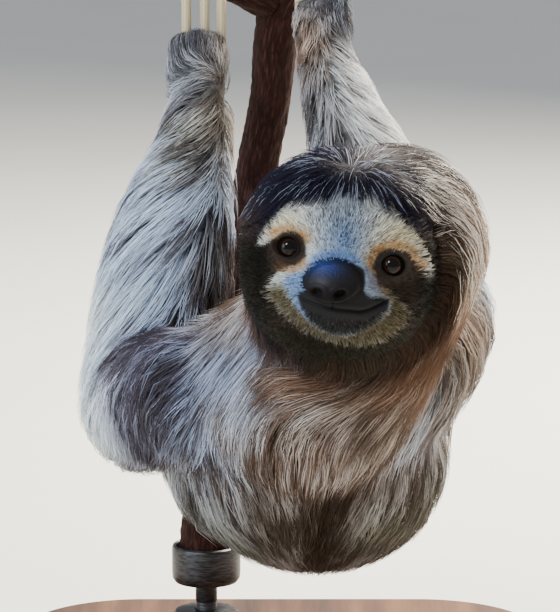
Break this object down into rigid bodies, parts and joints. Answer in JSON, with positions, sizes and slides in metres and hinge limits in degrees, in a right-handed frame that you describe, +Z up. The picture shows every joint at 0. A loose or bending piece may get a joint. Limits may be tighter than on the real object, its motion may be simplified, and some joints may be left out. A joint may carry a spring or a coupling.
{
  "type": "three-toed sloth display model",
  "caption": "Life-size still model of a young three-toed sloth hanging by hooked claws from a forked branch, head turned to the front, on a flat wooden display stand",
  "frame": {"origin": "centre of the underside of the stand's base", "axes": "+Z up; -Y is the way the animal faces; +X is its own left"},
  "size_m": [0.25, 0.3979, 0.3408],
  "materials": {
    "coat_dark": "coarse dark brown hair of crown, eye stripes and throat",
    "coat_brown": "long coarse grey-brown hair streaked with cream",
    "coat_pale": "long pale grey and cream hair",
    "nose_skin": "bare black skin, slightly moist",
    "eye": "glossy dark brown eye",
    "claw": "worn cream horn",
    "bark": "smooth reddish brown bark",
    "stand_wood": "dark stained, satin lacquer",
    "stand_steel": "brushed"
  },
  "bodies": {
    "root": {"branch_stem": "bark", "branch_bough": "bark", "eye_right": "eye", "eye_left": "eye", "nose": "nose_skin", "head": "coat_dark", "trunk": "coat_brown", "neck": "coat_brown", "tail": "coat_brown", "upper_arm_right": "coat_brown", "forearm_right": "coat_pale", "hand_right": "coat_pale", "thigh_right": "coat_pale", "shank_right": "coat_pale", "foot_right": "coat_pale", "upper_arm_left": "coat_brown", "forearm_left": "coat_pale", "hand_left": "coat_pale", "thigh_left": "coat_pale", "shank_left": "coat_pale", "foot_left": "coat_pale", "hand_claw_right_1": "claw", "foot_claw_right_1": "claw", "hand_claw_right_2": "claw", "foot_claw_right_2": "claw", "hand_claw_right_3": "claw", "foot_claw_right_3": "claw", "hand_claw_left_1": "claw", "foot_claw_left_1": "claw", "hand_claw_left_2": "claw", "foot_claw_left_2": "claw", "hand_claw_left_3": "claw", "foot_claw_left_3": "claw", "stand_base": "stand_wood", "stand_rod": "stand_steel", "stand_collar": "stand_steel", "stand_cup": "stand_steel"}
  },
  "joints": []
}
